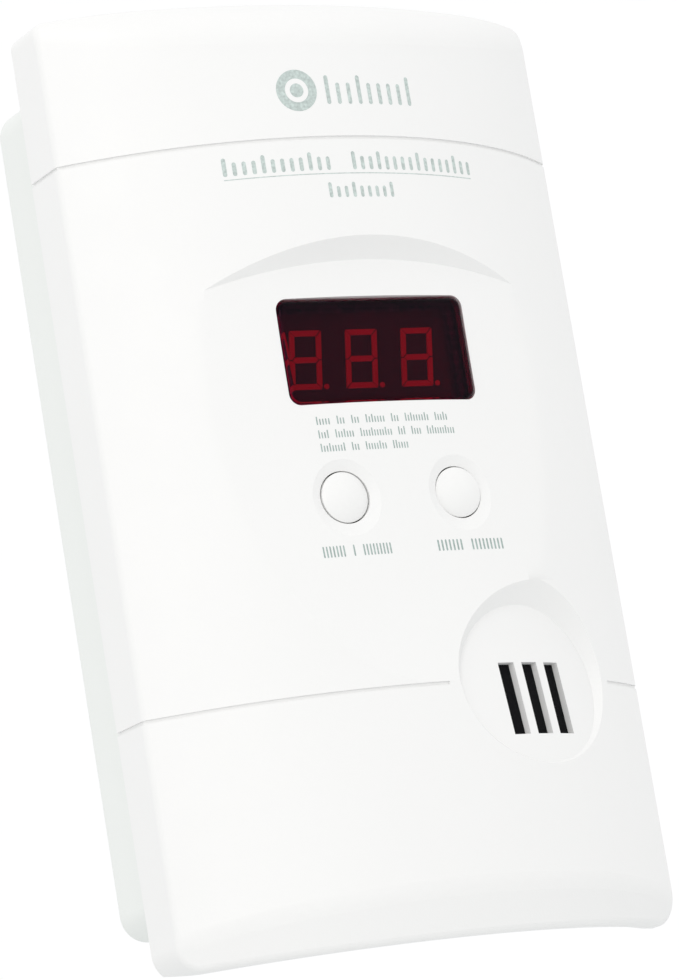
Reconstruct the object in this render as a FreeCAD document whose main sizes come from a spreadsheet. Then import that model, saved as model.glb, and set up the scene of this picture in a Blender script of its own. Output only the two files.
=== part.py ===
import FreeCAD, Part
import math
import os
import re

# Plug-in carbon monoxide alarm with a three digit display and a backup battery.
# Millimetres. X to the right, Z up, the crowned front faces -Y and the plane Y = 0 lies on the wall.

SIZES = {
    # overall form
    "width": 87.0,
    "height": 146.0,
    "depth": 38.0,
    "crown_radius": 70.55,
    "cover_back": -14.5,
    "top_corner": 2.2,
    "low_corner": 4.2,
    "crease_radius": 1.4,
    "bevel_blend": 8.0,
    "beyond": 200.0,
    "cover_wall": 2.2,
    "fit_gap": 0.2,
    "overlap": 5.0,
    "bite": 0.5,
    # bevels at the two ends of the cover
    "top_bevel_start": 68.8,
    "top_bevel_angle": 56.3,
    "top_bevel_radius": 201.0,
    "low_bevel_start": -66.0,
    "low_bevel_angle": 19.65,
    "low_bevel_radius": 78.0,
    "underside_angle": 15.0,
    "underside_lip": 3.6,
    "cone_core": 20.0,
    # decorative grooves that part the cover into three bands
    "upper_groove": 49.5,
    "lower_groove": -35.56,
    "groove_width": 0.55,
    "groove_depth": 0.3,
    # hollow face around the display and the buttons
    "facet_depth": 3.0,
    "facet_radius": 136.0,
    "scoop_radius": 375.0,
    "scoop_height": 12.0,
    "facet_top": 34.0,
    "facet_wall_angle": 51.0,
    "facet_margin": 8.0,
    "facet_bottom": -40.0,
    "facet_reach": 14.0,
    # display window, lens and module
    "window_width": 32.7,
    "window_height": 16.5,
    "window_height_mid": 16.95,
    "window_corner": 1.8,
    "lens_front": -34.5,
    "lens_seat": -31.2,
    "lens_flange": 1.0,
    "lens_edge": 0.7,
    "flange_margin": 2.2,
    "seat_margin": 3.75,
    "seat_skin": 0.9,
    "module_width": 30.6,
    "module_height": 14.2,
    "module_face": -28.4,
    "digit_height": 9.2,
    "digit_width": 5.5,
    "digit_pitch": 9.8,
    "digit_shift": -0.38,
    "digit_rise": -0.17,
    "digit_slant": 8.5,
    "segment_width": 0.85,
    "segment_gap": 0.2,
    "segment_relief": 0.25,
    "point_radius": 0.4,
    "point_offset": 3.6,
    # push buttons and their switches
    "button_offset": 9.9,
    "button_height_mid": -5.75,
    "button_radius": 3.9,
    "button_top": -35.4,
    "button_dome": 1.0,
    "button_gap": 0.2,
    "dish_radius": 6.0,
    "dish_depth": 1.3,
    "dish_rise": -0.2,
    "guide_radius": 7.0,
    "guide_back": -31.2,
    "guide_start": 1.4,
    "button_collar": 4.9,
    "collar_front": -31.15,
    "collar_thick": 0.8,
    "stem_radius": 1.5,
    "stem_end": -29.9,
    "plunger_end": -25.2,
    "switch_side": 6.2,
    "switch_front": -27.0,
    "switch_floor": -24.2,
    # round dish with the sounder vent
    "vent_offset": 17.9,
    "vent_mid": -35.7,
    "vent_half_width": 17.5,
    "vent_half_height": 14.2,
    "vent_flare": 50.0,
    "vent_reach": 6.5,
    "vent_stand": 3.0,
    "vent_floor_start": -50.5,
    "vent_tilt": 5.7,
    "vent_plate": 1.1,
    "pad_sink": 0.3,
    "pad_rim": 1.4,
    "vent_room": 12.0,
    "slot_count": 3,
    "slot_width": 3.2,
    "slot_pitch": 4.85,
    "slot_height": 11.3,
    "slot_drop": 2.3,
    "mesh_radius": 9.0,
    "mesh_thick": 0.3,
    "mesh_room": 9.5,
    # circuit board
    "board_front": -23.5,
    "board_thick": 1.6,
    "board_width": 76.0,
    "board_reach": 52.0,
    "board_tab_width": 54.0,
    "board_tab_top": 62.0,
    # parts on the front of the board
    "chip_side": 10.0,
    "chip_thick": 1.6,
    "chip_mid_x": -23.0,
    "chip_mid_z": 17.0,
    "regulator_left": 22.0,
    "regulator_width": 7.0,
    "regulator_low": 16.0,
    "regulator_height": 8.0,
    "regulator_thick": 3.2,
    "can_count": 3,
    "can_radius": 3.6,
    "can_length": 5.5,
    "can_mid_x": -22.0,
    "can_top_z": -22.0,
    "can_pitch": 10.0,
    "resistor_count": 6,
    "resistor_left": -33.0,
    "resistor_length": 3.2,
    "resistor_width": 1.6,
    "resistor_thick": 0.8,
    "resistor_top": -2.4,
    "resistor_pitch": 4.0,
    # gas sensor and sounder
    "sensor_radius": 9.8,
    "sensor_mid": 50.0,
    "sensor_front": -33.5,
    "filter_radius": 6.0,
    "filter_thick": 0.6,
    "sounder_radius": 12.0,
    "sounder_offset": 14.0,
    "sounder_mid": -36.0,
    "sounder_front": -29.3,
    "sounder_wall": 0.9,
    "sounder_hole": 3.0,
    "piezo_level": -26.2,
    "piezo_thick": 0.3,
    # rear housing
    "rear_width": 81.6,
    "rear_top": 65.2,
    "rear_bottom": -65.0,
    "rear_wall": 2.0,
    "rear_corner": 4.2,
    "rear_edge": 1.8,
    "flange_thick": 2.0,
    # battery bay and door
    "bay_left": -29.5,
    "bay_right": 25.5,
    "bay_low": 20.5,
    "bay_high": 48.0,
    "bay_front": -20.0,
    "bay_wall": 2.0,
    "bay_floor": 1.2,
    "door_thick": 1.8,
    "door_gap": 0.2,
    "door_round": 0.88,
    "bay_middle": -2.0,
    "grip_count": 4,
    "grip_half": 6.0,
    "grip_margin": 1.6,
    "grip_pitch": 1.8,
    "grip_width": 0.8,
    "grip_depth": 0.5,
    "battery_left": -23.5,
    "battery_length": 46.5,
    "battery_width": 26.5,
    "battery_thick": 17.4,
    "battery_back": -2.2,
    "battery_edge": 2.0,
    "terminal_radius": 2.9,
    "terminal_length": 2.5,
    "terminal_spacing": 12.7,
    "cup_wall": 1.0,
    "cup_mouth": -24.3,
    "plate_right": -27.0,
    "plate_half_deep": 6.0,
    "plate_half_high": 11.0,
    "tail_radius": 0.6,
    "tail_x": -28.6,
    # cord recess with the power inlet
    "recess_half": 11.0,
    "recess_top": -36.0,
    "recess_low": -58.0,
    "recess_deep": 13.0,
    "recess_wall": 1.2,
    "channel_half": 3.5,
    "channel_deep": 7.0,
    "inlet_half": 4.6,
    "inlet_length": 11.0,
    "inlet_front": -12.0,
    "inlet_back": -2.8,
    "inlet_bore": 2.75,
    "inlet_bore_deep": 9.0,
    "inlet_pin_radius": 1.0,
    "inlet_pin_start": 0.8,
    # screws
    "screw_offset": 34.0,
    "screw_top": 57.0,
    "screw_low": -59.0,
    "screw_tube": 4.0,
    "screw_head": 3.0,
    "screw_sink": 3.4,
    "screw_head_thick": 2.2,
    "screw_shank": 1.45,
    "screw_tip": -23.0,
    "cross_half": 1.8,
    "cross_width": 0.7,
    "cross_depth": 1.2,
    "boss_radius": 3.6,
    "boss_skin": 1.0,
    "tight_gap": 0.1,
    "loose_gap": 0.3,
    "post_offset": 32.0,
    "post_top": 10.0,
    "post_low": -46.0,
    "post_radius": 3.2,
    "post_screw": 1.25,
    "post_screw_head": 2.6,
    "post_head_thick": 1.5,
    "post_screw_tip": -15.5,
    # keyholes, label and top vents
    "keyhole_offset": 22.0,
    "keyhole_head_mid": 54.7,
    "keyhole_head": 4.2,
    "keyhole_slot": 2.1,
    "keyhole_travel": 5.0,
    "label_half": 28.0,
    "label_low": -33.0,
    "label_high": -6.0,
    "label_front": -0.14,
    "label_thick": 0.12,
    "label_sink": 0.15,
    "rear_slot_width": 1.6,
    "rear_slot_pitch": 5.0,
    "rear_slot_count": 7,
    "rear_slot_front": -11.5,
    "rear_slot_back": -4.0,
}

X_AXIS = FreeCAD.Vector(1, 0, 0)
Y_AXIS = FreeCAD.Vector(0, 1, 0)
SAME = 0.001
TO_Y = FreeCAD.Rotation(X_AXIS, -90)
TO_X = FreeCAD.Rotation(Y_AXIS, 90)
DIGIT_MID = "(window_height_mid+digit_rise)"
BAY_MID = "(bay_low+bay_high)/2"
# How much of the wall thickness the inner corner radii lose, and the height under which corners are low ones.
TOP_CORNER_LOSS = 0.4
LOW_CORNER_LOSS = 0.8
LOW_CORNER_LIMIT = -SIZES["height"] / 2 + 12

doc = FreeCAD.newDocument("co_alarm")


def make_sheet():
    sheet = doc.addObject("Spreadsheet::Sheet", "Sizes")
    for row, (alias, value) in enumerate(SIZES.items(), start=1):
        sheet.set(f"A{row}", alias)
        sheet.set(f"B{row}", str(value))
        sheet.setAlias(f"B{row}", alias)
    doc.recompute()
    return sheet


SHEET = make_sheet()


def linked(text):
    """Put the sheet's name in front of every alias in an expression."""
    return re.sub(r"[a-z_]+", lambda m: "Sizes." + m.group() if m.group() in SIZES else m.group(), str(text))


def size(alias):
    return float(SHEET.get(alias))


def evaluated(text):
    """Number that an expression of aliases gives."""
    return float(SHEET.evalExpression(re.sub(r"Sizes\.", "", linked(text))))


def bind(obj, **sizes):
    for prop, text in sizes.items():
        obj.setExpression(prop, linked(text))


def move(obj, x="0", y="0", z="0"):
    for axis, text in (("x", x), ("y", y), ("z", z)):
        obj.setExpression("Placement.Base." + axis, linked(text))


def add(kind, name):
    obj = doc.addObject(kind, name)
    obj.Label = name
    return obj


def block(name, x, y, z):
    """Box given by its low and high limit on each axis."""
    obj = add("Part::Box", name)
    bind(obj, Length=f"({x[1]})-({x[0]})", Width=f"({y[1]})-({y[0]})", Height=f"({z[1]})-({z[0]})")
    move(obj, x[0], y[0], z[0])
    return obj


def rod(name, radius, x, y, z):
    """Cylinder along the one axis whose entry is a pair of limits."""
    obj = add("Part::Cylinder", name)
    spans = {"x": x, "y": y, "z": z}
    along = next(axis for axis, span in spans.items() if isinstance(span, tuple))
    low, high = spans[along]
    turns = {"x": TO_X, "y": TO_Y, "z": FreeCAD.Rotation()}
    obj.Placement.Rotation = turns[along]
    bind(obj, Radius=radius, Height=f"({high})-({low})")
    spans[along] = low
    move(obj, **spans)
    return obj


def combine(kind, name, parts):
    obj = add(kind, name)
    obj.Shapes = list(parts)
    return obj


def fuse(name, *parts):
    return combine("Part::MultiFuse", name, parts)


def common(name, *parts):
    return combine("Part::MultiCommon", name, parts)


def cut(name, base, *tools):
    obj = add("Part::Cut", name)
    obj.Base = base
    obj.Tool = tools[0] if len(tools) == 1 else fuse(name + "_tools", *tools)
    return obj


def rounded(name, base, radius, wanted):
    """Fillet every edge of base that the test accepts."""
    doc.recompute()
    obj = add("Part::Fillet", name)
    obj.Base = base
    edges = enumerate(base.Shape.Edges, start=1)
    obj.Edges = [(index, radius, radius) for index, edge in edges if wanted(edge)]
    return obj


def runs_along(axis):
    def test(edge):
        if edge.Curve.TypeId != "Part::GeomLine":
            return False
        return abs(edge.tangentAt(edge.FirstParameter).dot(axis)) > 1 - SAME
    return test


def leaning_cylinder(name, radius, start, angle, inset):
    """Wide cylinder turned about X by angle, whose front touches the crown's foremost line at start."""
    obj = add("Part::Cylinder", name)
    obj.Placement.Rotation = FreeCAD.Rotation(X_AXIS, evaluated(angle))
    bind(obj, Radius=f"{radius}-{inset}", Height="beyond*2")
    move(obj, y=f"{radius}*cos({angle})+beyond*sin({angle})-depth",
         z=f"{start}+{radius}*sin({angle})-beyond*cos({angle})")
    return obj


def crown_y(x):
    """Y of the crowned front at a given X."""
    return size("crown_radius") - size("depth") - math.sqrt(size("crown_radius") ** 2 - x ** 2)


# ---------------------------------------------------------------- cover form

def underside(name, inset):
    """Cone about the crown's axis that slopes the cover's underside up towards the back."""
    foot = "crown_radius-underside_lip+overlap/tan(underside_angle)"
    obj = add("Part::Cone", name)
    bind(obj, Radius1=foot, Radius2="cone_core", Height=f"({foot}-cone_core)*tan(underside_angle)")
    move(obj, y="crown_radius-depth", z=f"{inset}/cos(underside_angle)-height/2-overlap")
    return obj


def crowned_front(name, inset):
    """Upright crown trimmed at both ends by flatter cylinders that lean back."""
    crown = rod(name + "_crown", f"crown_radius-{inset}", "0", "crown_radius-depth", ("-height", "height"))
    low = leaning_cylinder(name + "_low", "low_bevel_radius", "low_bevel_start", "low_bevel_angle", inset)
    top = leaning_cylinder(name + "_top", "top_bevel_radius", "top_bevel_start", "-top_bevel_angle", inset)
    front = common(name, crown, low, top)
    if inset == 0:
        front = rounded(name + "_blended", front, size("bevel_blend"), is_bevel_crease)
    return front


def cover_form(name, inset):
    """Outer form of the cover, or the same form pulled in by inset on every side but the back."""
    half_width = f"width/2-{inset}"
    half_height = f"height/2-{inset}"
    slab = block(name + "_slab", (f"-({half_width})", half_width), ("-depth-overlap", "cover_back"),
                 (f"-({half_height})", half_height))
    top_soft = rounded(name + "_top_soft", slab, size("top_corner") - inset * TOP_CORNER_LOSS,
                       lambda edge: runs_along(Y_AXIS)(edge) and edge.BoundBox.Center.z > 0)
    soft = rounded(name + "_soft", top_soft, size("low_corner") - inset * LOW_CORNER_LOSS,
                   lambda edge: runs_along(Y_AXIS)(edge) and edge.BoundBox.ZMax < LOW_CORNER_LIMIT)
    body = common(name + "_body", soft, crowned_front(name + "_front", inset))
    if inset == 0:
        body = rounded(name + "_eased", body, size("crease_radius"), lambda edge: is_front_rim(body, edge))
    return cut(name, body, underside(name + "_under", inset))


def scoop(name, inset):
    """Space in front of the hollow face; inset moves its floor and its top wall into the cover."""
    torus = add("Part::Torus", name + "_torus")
    torus.Placement.Rotation = TO_X
    bind(torus, Radius1="scoop_radius+facet_radius", Radius2=f"facet_radius-{inset}")
    move(torus, y="facet_depth-depth-scoop_radius", z="scoop_height")
    front = block(name + "_front", ("-width/2+facet_margin", "width/2-facet_margin"),
                  ("-depth-overlap", "-depth+facet_reach"), ("facet_bottom", "facet_top+facet_margin"))
    below = add("Part::Box", name + "_below")
    below.Placement.Rotation = FreeCAD.Rotation(X_AXIS, -size("facet_wall_angle"))
    bind(below, Length="beyond", Width="beyond*2", Height="beyond")
    rise = f"facet_top+{inset}/cos(facet_wall_angle)"
    move(below, "-beyond/2", "-depth-beyond*cos(facet_wall_angle)-beyond*sin(facet_wall_angle)",
         f"{rise}+beyond*sin(facet_wall_angle)-beyond*cos(facet_wall_angle)")
    return common(name, cut(name + "_open", front, torus), below)


def groove(name, height):
    """Thin ring let into the crown and the side walls at one height."""
    level = (f"{height}-groove_width/2", f"{height}+groove_width/2")
    outside = block(name + "_outside", ("-width", "width"), ("-depth-overlap", "cover_back+overlap"), level)
    inner_box = block(name + "_box", ("-width/2+groove_depth", "width/2-groove_depth"),
                      ("-depth-overlap", "cover_back+overlap*2"), ("-height", "height"))
    inner_crown = rod(name + "_crown", "crown_radius-groove_depth", "0", "crown_radius-depth",
                      ("-height", "height"))
    return cut(name, outside, common(name + "_core", inner_box, inner_crown))


# ---------------------------------------------------------------- sounder vent

def vent_frame():
    """Placement of the dish: local Z points out of the cover, local Y up."""
    offset = size("vent_offset")
    lean = math.asin(offset / size("crown_radius"))
    outward = FreeCAD.Vector(math.sin(lean), -math.cos(lean), 0)
    across = FreeCAD.Vector(math.cos(lean), math.sin(lean), 0)
    tilt = math.radians(size("vent_tilt"))
    normal = outward * math.cos(tilt) + FreeCAD.Vector(0, 0, math.sin(tilt))
    middle = FreeCAD.Vector(offset, crown_y(offset), size("vent_mid"))
    return FreeCAD.Placement(middle, FreeCAD.Rotation(across, normal.cross(across), normal, "ZXY"))


def on_vent(obj, x=0.0, y=0.0, z=0.0):
    frame = vent_frame()
    obj.Placement = frame.multiply(FreeCAD.Placement(FreeCAD.Vector(x, y, z), FreeCAD.Rotation()))
    return obj


def vent_plug(name, grow, flare):
    """Oval plug through the cover on the dish's axis, wider towards the outside by the flare angle."""
    oval = add("Part::Ellipse", name + "_oval")
    lean = f"vent_reach*tan({flare})"
    bind(oval, MajorRadius=f"vent_half_width+{grow}-{lean}", MinorRadius=f"vent_half_height+{grow}-{lean}")
    on_vent(oval, z=-size("vent_reach"))
    plug = add("Part::Extrusion", name)
    plug.Base = oval
    plug.DirMode = "Normal"
    plug.Reversed = True
    plug.Solid = True
    bind(plug, LengthFwd="vent_reach+vent_stand", TaperAngle=flare)
    return plug


def vent_rod(name, radius):
    """Round rod on the dish's axis, from well inside the cover to well outside."""
    obj = add("Part::Cylinder", name)
    bind(obj, Radius=radius, Height="vent_half_width*2")
    return on_vent(obj, y=-size("slot_drop"), z=-size("vent_half_width"))


def vent_floor(name, inset):
    """What lies under the floor of the dish, which leaves the crown at the bottom and sinks upwards."""
    return leaning_cylinder(name, "crown_radius", "vent_floor_start", "-vent_tilt", inset)


def vent_layer(name, radius, outer, inner):
    """Disc between two depths under the floor of the dish."""
    disc = common(name + "_disc", vent_rod(name + "_rod", radius), vent_floor(name + "_outer", outer))
    return cut(name, disc, vent_floor(name + "_inner", inner))


def vent_dish(name):
    """Flared oval hollow that stops at the floor."""
    return cut(name, vent_plug(name + "_plug", "0", "vent_flare"), vent_floor(name + "_floor", 0))


def vent_pad(name):
    """Backing of the dish: everything under the skin down to one plate thickness below the floor."""
    skin = rod(name + "_skin", "crown_radius-pad_sink", "0", "crown_radius-depth",
               ("-height/2+overlap", "0"))
    disc = common(name + "_disc", vent_plug(name + "_plug", "pad_rim", "0"), skin)
    return cut(name, disc, vent_floor(name + "_inner", "vent_plate"))


def vent_slots():
    count = int(size("slot_count"))
    slots = []
    for number in range(count):
        slot = add("Part::Box", f"vent_slot_{number}")
        bind(slot, Length="slot_width", Width="slot_height", Height="vent_half_width")
        left = (number - (count - 1) / 2) * size("slot_pitch") - size("slot_width") / 2
        low = -size("slot_drop") - size("slot_height") / 2
        slots.append(on_vent(slot, left, low, -size("vent_half_width") / 2))
    return slots


# ---------------------------------------------------------------- pieces

def corner_points(half, top, low):
    return [(side + half, level) for side in ("-", "") for level in (top, low)]


HOUSING_SCREW_POINTS = corner_points("screw_offset", "screw_top", "screw_low")
BOARD_SCREW_POINTS = corner_points("post_offset", "post_top", "post_low")


def around_window(name, grow, level):
    """Block as large as the window and larger by grow on each of its four sides."""
    half_width = f"(window_width/2+({grow}))"
    half_height = f"(window_height/2+({grow}))"
    return block(name, ("-" + half_width, half_width), level,
                 ("window_height_mid-" + half_height, "window_height_mid+" + half_height))


def front_cover():
    outer = cover_form("cover_outer", 0)
    hollow = cover_form("cover_hollow", size("cover_wall"))
    cavity = cut("cover_cavity", hollow, scoop("cover_backing", size("cover_wall")))
    shell = cut("cover_shell", outer, cavity)
    seat = around_window("window_seat", "seat_margin", ("-depth+facet_depth+seat_skin", "lens_seat"))
    guides = [rod(f"button_guide_{side}", "guide_radius", f"{side}*button_offset",
                  ("button_top+guide_start", "guide_back"), "button_height_mid") for side in (-1, 1)]
    bosses = [rod(f"cover_boss_{index}", "boss_radius", x, ("-depth", "cover_back-tight_gap"), z)
              for index, (x, z) in enumerate(HOUSING_SCREW_POINTS)]
    trimmed = common("cover_bosses", fuse("cover_boss_rods", *bosses),
                     cover_form("boss_limit", size("boss_skin")))
    solid = fuse("cover_solid", shell, seat, *guides, vent_pad("vent_backing"), trimmed)
    through = ("-depth-overlap", "guide_back+overlap")
    window = rounded("window_hole", around_window("window_block", "0", through), size("window_corner"),
                     runs_along(Y_AXIS))
    holes = [rod(f"button_hole_{side}", "button_radius+button_gap", f"{side}*button_offset", through,
                 "button_height_mid") for side in (-1, 1)]
    pilots = [rod(f"cover_pilot_{index}", "screw_shank+tight_gap", x,
                  ("screw_tip-bite", "cover_back+overlap"), z)
              for index, (x, z) in enumerate(HOUSING_SCREW_POINTS)]
    lower = cut("lower_groove_cut", groove("lower_ring", "lower_groove"),
                vent_plug("vent_clear", "-fit_gap", "0"))
    return cut("front_cover", solid, scoop("display_scoop", 0), window, *button_dishes(), *holes,
               vent_dish("vent_recess"), vent_layer("mesh_space", "mesh_room", "vent_plate", "vent_room"),
               *vent_slots(), groove("upper_ring", "upper_groove"), lower, *pilots)


def is_bevel_crease(edge):
    """Curved edges, wider than the cover, where the upright crown meets the leaning cylinders."""
    box = edge.BoundBox
    reaches_front = box.YMin < size("bite") - size("depth")
    return box.XLength > size("width") and reaches_front and box.ZLength > size("bite")


def is_front_rim(body, edge):
    """Edges where the rounded front meets the side, top and bottom walls."""
    sides = [face for face in body.Shape.Faces if is_slab_face(face)]
    around = [face for face in sides if any(edge.isSame(rim) for rim in face.Edges)]
    return len(around) == 1 and edge.BoundBox.YMax < size("cover_back") - size("bite")


def is_slab_face(face):
    """Flat walls of the slab and the rounds at its corners, all of them square to the wall."""
    middle = face.Surface.parameter(face.CenterOfMass)
    return abs(face.normalAt(*middle).y) < SAME and face.CenterOfMass.y > size("facet_depth") - size("depth")



def cap_radius(half_width, rise):
    """Radius of the ball whose cap has the given half width and rise."""
    return (half_width ** 2 + rise ** 2) / (2 * rise)


def button_dishes():
    """Shallow spherical hollows round the buttons, each square to the hollow face where it lies."""
    ball = cap_radius(size("dish_radius"), size("dish_depth"))
    height = size("button_height_mid") + size("dish_rise")
    offset = size("button_offset")
    lean_x = offset / size("facet_radius")
    lean_z = (size("scoop_height") - height) / size("scoop_radius")
    surface = (size("facet_depth") - size("depth") + offset * lean_x / 2
               - (size("scoop_height") - height) * lean_z / 2)
    reach = ball - size("dish_depth")
    dishes = []
    for side in (-1, 1):
        dish = add("Part::Sphere", f"button_dish_{side}")
        dish.Radius = ball
        dish.Placement.Base = FreeCAD.Vector(side * (offset + lean_x * reach), surface - reach,
                                             height + lean_z * reach)
        dishes.append(dish)
    return dishes


def display_lens():
    plate = rounded("lens_plate", around_window("lens_block", "-fit_gap", ("lens_front", "lens_seat+bite")),
                    size("window_corner") - size("fit_gap"), runs_along(Y_AXIS))
    face = rounded("lens_face", plate, size("lens_edge"),
                   lambda edge: edge.BoundBox.YMax < size("lens_front") + SAME)
    flange = around_window("lens_flange_plate", "flange_margin", ("lens_seat", "lens_seat+lens_flange"))
    return fuse("display_lens", face, flange)


def display_module():
    return block("display_module", ("-module_width/2", "module_width/2"), ("module_face", "board_front"),
                 ("window_height_mid-module_height/2", "window_height_mid+module_height/2"))


def display_digits():
    """Three slanted digits of seven mitred bars, each with its point, standing proud of the module."""
    level = ("module_face-segment_relief", "module_face")
    through = ("module_face-overlap", "module_face+overlap")
    pieces = []
    for place in (-1, 0, 1):
        middle = f"({place}*digit_pitch+digit_shift)"
        outside = slanted(f"digit_{place}_outside", (f"{middle}-digit_width/2", f"{middle}+digit_width/2"),
                          level, ("-digit_height/2", "digit_height/2"))
        between = (f"{middle}-digit_width/2+segment_width", f"{middle}+digit_width/2-segment_width")
        upper = slanted(f"digit_{place}_upper", between, through,
                        ("segment_width/2", "digit_height/2-segment_width"))
        lower = slanted(f"digit_{place}_lower", between, through,
                        ("segment_width-digit_height/2", "-segment_width/2"))
        pieces.append(cut(f"digit_{place}", outside, upper, lower, *digit_mitres(place, middle)))
        pieces.append(rod(f"point_{place}", "point_radius", f"{middle}+point_offset-digit_height/2*"
                          "tan(digit_slant)", level, f"{DIGIT_MID}-digit_height/2+point_radius"))
    return fuse("display_digits", *pieces)


def slanted(name, x, y, z):
    """Block that leans to the right as the digits do; z counts from their middle height."""
    obj = add("Part::Wedge", name)
    obj.Placement.Rotation = FreeCAD.Rotation(X_AXIS, 90)
    low, high = (f"({level})*tan(digit_slant)" for level in z)
    bind(obj, Ymin=z[0], Ymax=z[1], Zmin=f"-({y[1]})", Zmax=f"-({y[0]})", Z2min=f"-({y[1]})",
         Z2max=f"-({y[0]})", Xmin=f"{x[0]}+{low}", Xmax=f"{x[1]}+{low}", X2min=f"{x[0]}+{high}",
         X2max=f"{x[1]}+{high}")
    move(obj, z=DIGIT_MID)
    return obj


def digit_mitres(place, middle):
    """Thin slits that part the bars of one digit at its corners and beside its middle bar."""
    slits = []
    for side in (-1, 1):
        column = f"{middle}+{side}*(digit_width/2-segment_width/2)"
        for half in (-1, 1):
            slits.append(slit(f"mitre_{place}_{side}_{half}", column,
                              f"{half}*(digit_height/2-segment_width/2)", -45 * side * half,
                              "segment_width*1.6"))
            slits.append(slit(f"notch_{place}_{side}_{half}", f"{column}-{side}*segment_width/4",
                              f"{half}*segment_width/4", 45 * side * half, "segment_width"))
        slits.append(slit(f"split_{place}_{side}", f"{column}+{side}*segment_width/4", "0", 0,
                          "segment_width*0.7"))
    return slits


def slit(name, x, z, angle, length):
    """Narrow block centred on a point of a slanted digit and turned in the display's plane."""
    obj = add("Part::Box", name)
    bind(obj, Length=length, Width="segment_relief*3", Height="segment_gap")
    obj.Placement.Rotation = FreeCAD.Rotation(Y_AXIS, angle)
    along = f"({length})/2"
    across = "segment_gap/2"
    move(obj, f"{x}+({z})*tan(digit_slant)-({along})*cos({angle})-({across})*sin({angle})",
         "module_face-segment_relief*2",
         f"{DIGIT_MID}+{z}+({along})*sin({angle})-({across})*cos({angle})")
    return obj


def push_button(name, side):
    x = f"{side}*button_offset"
    z = "button_height_mid"
    dome_radius = cap_radius(size("button_radius"), size("button_dome"))
    ball = add("Part::Sphere", name + "_ball")
    ball.Radius = dome_radius
    ball.Placement.Base = FreeCAD.Vector(side * size("button_offset"), size("button_top") + dome_radius,
                                         size("button_height_mid"))
    cap = common(name + "_cap", ball, rod(name + "_post", "button_radius", x,
                                          ("button_top-overlap", "collar_front+bite"), z))
    collar = rod(name + "_collar", "button_collar", x, ("collar_front", "collar_front+collar_thick"), z)
    stem = rod(name + "_stem", "stem_radius", x, ("collar_front+bite", "stem_end"), z)
    return fuse(name, cap, collar, stem)


def push_switch(name, side):
    x = f"{side}*button_offset"
    case = block(name + "_case", (f"{x}-switch_side/2", f"{x}+switch_side/2"),
                 ("switch_front", "board_front"),
                 ("button_height_mid-switch_side/2", "button_height_mid+switch_side/2"))
    well = rod(name + "_well", "stem_radius+loose_gap", x, ("switch_front-overlap", "switch_floor"),
               "button_height_mid")
    return cut(name, case, well)


def circuit_board():
    back = "board_front+board_thick"
    main = block("board_main", ("-board_width/2", "board_width/2"), ("board_front", back),
                 ("-board_reach", "board_reach"))
    tab = block("board_tab", ("-board_tab_width/2", "board_tab_width/2"), ("board_front", back),
                ("0", "board_tab_top"))
    holes = [rod(f"board_hole_{index}", "post_screw+loose_gap", x, ("board_front-bite", back + "+bite"), z)
             for index, (x, z) in enumerate(BOARD_SCREW_POINTS)]
    return cut("circuit_board", fuse("board_plate", main, tab), *holes)


def gas_sensor():
    rod("co_sensor", "sensor_radius", "0", ("sensor_front", "board_front"), "sensor_mid")
    rod("sensor_filter", "filter_radius", "0", ("sensor_front-filter_thick", "sensor_front"), "sensor_mid")


def sounder():
    case = rod("sounder_can", "sounder_radius", "sounder_offset", ("sounder_front", "board_front"),
               "sounder_mid")
    room = rod("sounder_room", "sounder_radius-sounder_wall", "sounder_offset",
               ("sounder_front+sounder_wall", "board_front-sounder_wall"), "sounder_mid")
    hole = rod("sounder_port", "sounder_hole", "sounder_offset",
               ("sounder_front-bite", "sounder_front+sounder_wall+bite"), "sounder_mid")
    cut("sounder_case", case, room, hole)
    rod("piezo_disc", "sounder_radius-sounder_wall-tight_gap", "sounder_offset",
        ("piezo_level", "piezo_level+piezo_thick"), "sounder_mid")


def board_components():
    chip = "chip_side"
    block("microcontroller", (f"chip_mid_x-{chip}/2", f"chip_mid_x+{chip}/2"),
          ("board_front-chip_thick", "board_front"), (f"chip_mid_z-{chip}/2", f"chip_mid_z+{chip}/2"))
    block("voltage_regulator", ("regulator_left", "regulator_left+regulator_width"),
          ("board_front-regulator_thick", "board_front"), ("regulator_low", "regulator_low+regulator_height"))
    cans = [rod(f"can_{index}", "can_radius", "can_mid_x", ("board_front-can_length", "board_front"),
                f"can_top_z-{index}*can_pitch") for index in range(int(size("can_count")))]
    fuse("capacitors", *cans)
    dots = []
    for index in range(int(size("resistor_count"))):
        top = f"resistor_top-{index}*resistor_pitch"
        dots.append(block(f"resistor_{index}", ("resistor_left", "resistor_left+resistor_length"),
                          ("board_front-resistor_thick", "board_front"), (f"{top}-resistor_width", top)))
    fuse("resistors", *dots)


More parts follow.
